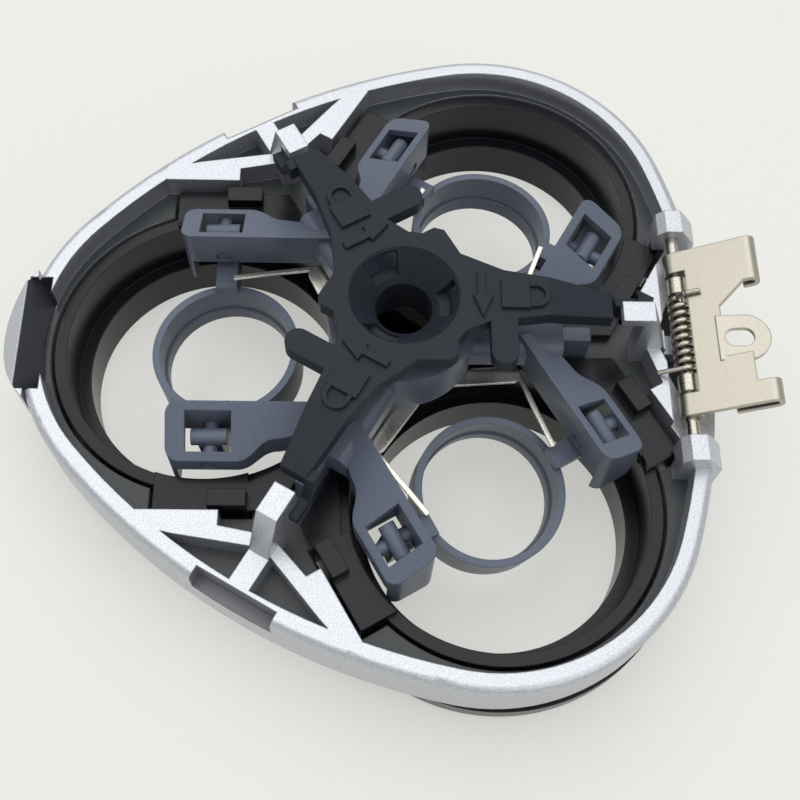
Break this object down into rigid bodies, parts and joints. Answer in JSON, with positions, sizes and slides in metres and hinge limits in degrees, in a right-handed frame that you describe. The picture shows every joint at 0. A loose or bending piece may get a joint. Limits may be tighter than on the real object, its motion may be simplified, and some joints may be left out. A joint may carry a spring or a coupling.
{
  "type": "shaver head holder frame",
  "caption": "Rounded three-lobed holder frame with round head cups, pivoting cutter rings, a turning lock star over sprung arms, a latch lip and a sprung hinge bracket.",
  "frame": {"origin": "on the centre axis of the three lobes, in the plane of the skin side on which the part stands", "axes": "+Z towards the inner side with the lock star, +X towards the hinge, +Y towards the far lobe's side"},
  "size_m": [0.0747, 0.0698, 0.0214],
  "materials": {
    "silver_shell": "satin silver paint on moulded plastic",
    "black_cup": "satin black moulding",
    "blue_grey_plastic": "satin blue-grey moulding",
    "charcoal_plastic": "fine-grained matt moulding",
    "spring_steel": "bright drawn wire and strip",
    "nickel_sheet": "nickel-plated sheet"
  },
  "bodies": {
    "frame": {"frame_shell": "silver_shell", "retaining_frame": "blue_grey_plastic", "leaf_spring": "spring_steel", "hinge_pin": "spring_steel", "spring_sleeve_far": "spring_steel", "spring_sleeve_near": "spring_steel", "torsion_spring": "spring_steel"},
    "bracket": {"hinge_bracket": "nickel_sheet"},
    "star": {"lock_star": "charcoal_plastic"},
    "cup_far": {"head_cup_far": "black_cup"},
    "cup_left": {"head_cup_left": "black_cup"},
    "cup_near": {"head_cup_near": "black_cup"},
    "ring_far": {"cutter_ring_far": "blue_grey_plastic"},
    "ring_left": {"cutter_ring_left": "blue_grey_plastic"},
    "ring_near": {"cutter_ring_near": "blue_grey_plastic"}
  },
  "joints": [
    {"name": "bracket_hinge", "type": "hinge", "parent": "frame", "child": "bracket", "pos_m": [0.0278, 0, 0.0138], "axis": [0, -1, 0], "range_deg": [0, 62], "stiffness_Nm_per_rad": 0.002, "springref_deg": -34.38, "deforming": ["torsion_spring"]},
    {"name": "lock_turn", "type": "hinge", "parent": "frame", "child": "star", "pos_m": [0, 0, 0.0165], "axis": [0, 0, 1], "range_deg": [-5.5, 0]},
    {"name": "cup_tilt_far", "type": "hinge", "parent": "frame", "child": "cup_far", "pos_m": [0.00945, 0.01637, 0.009], "axis": [-0.866, 0.5, 0], "range_deg": [-2, 2], "stiffness_Nm_per_rad": 0.01},
    {"name": "cup_tilt_left", "type": "hinge", "parent": "frame", "child": "cup_left", "pos_m": [-0.0189, 0, 0.009], "axis": [0, -1, 0], "range_deg": [-2, 2], "stiffness_Nm_per_rad": 0.01},
    {"name": "cup_tilt_near", "type": "hinge", "parent": "frame", "child": "cup_near", "pos_m": [0.00945, -0.01637, 0.009], "axis": [0.866, 0.5, 0], "range_deg": [-2, 2], "stiffness_Nm_per_rad": 0.01},
    {"name": "ring_tilt_far", "type": "hinge", "parent": "frame", "child": "ring_far", "pos_m": [0.009, 0.01559, 0.013], "axis": [-0.866, 0.5, 0], "range_deg": [-10, 3], "stiffness_Nm_per_rad": 0.002},
    {"name": "ring_tilt_left", "type": "hinge", "parent": "frame", "child": "ring_left", "pos_m": [-0.018, 0, 0.013], "axis": [0, -1, 0], "range_deg": [-7, 6], "stiffness_Nm_per_rad": 0.002},
    {"name": "ring_tilt_near", "type": "hinge", "parent": "frame", "child": "ring_near", "pos_m": [0.009, -0.01559, 0.013], "axis": [0.866, 0.5, 0], "range_deg": [-14, 2], "stiffness_Nm_per_rad": 0.002}
  ]
}
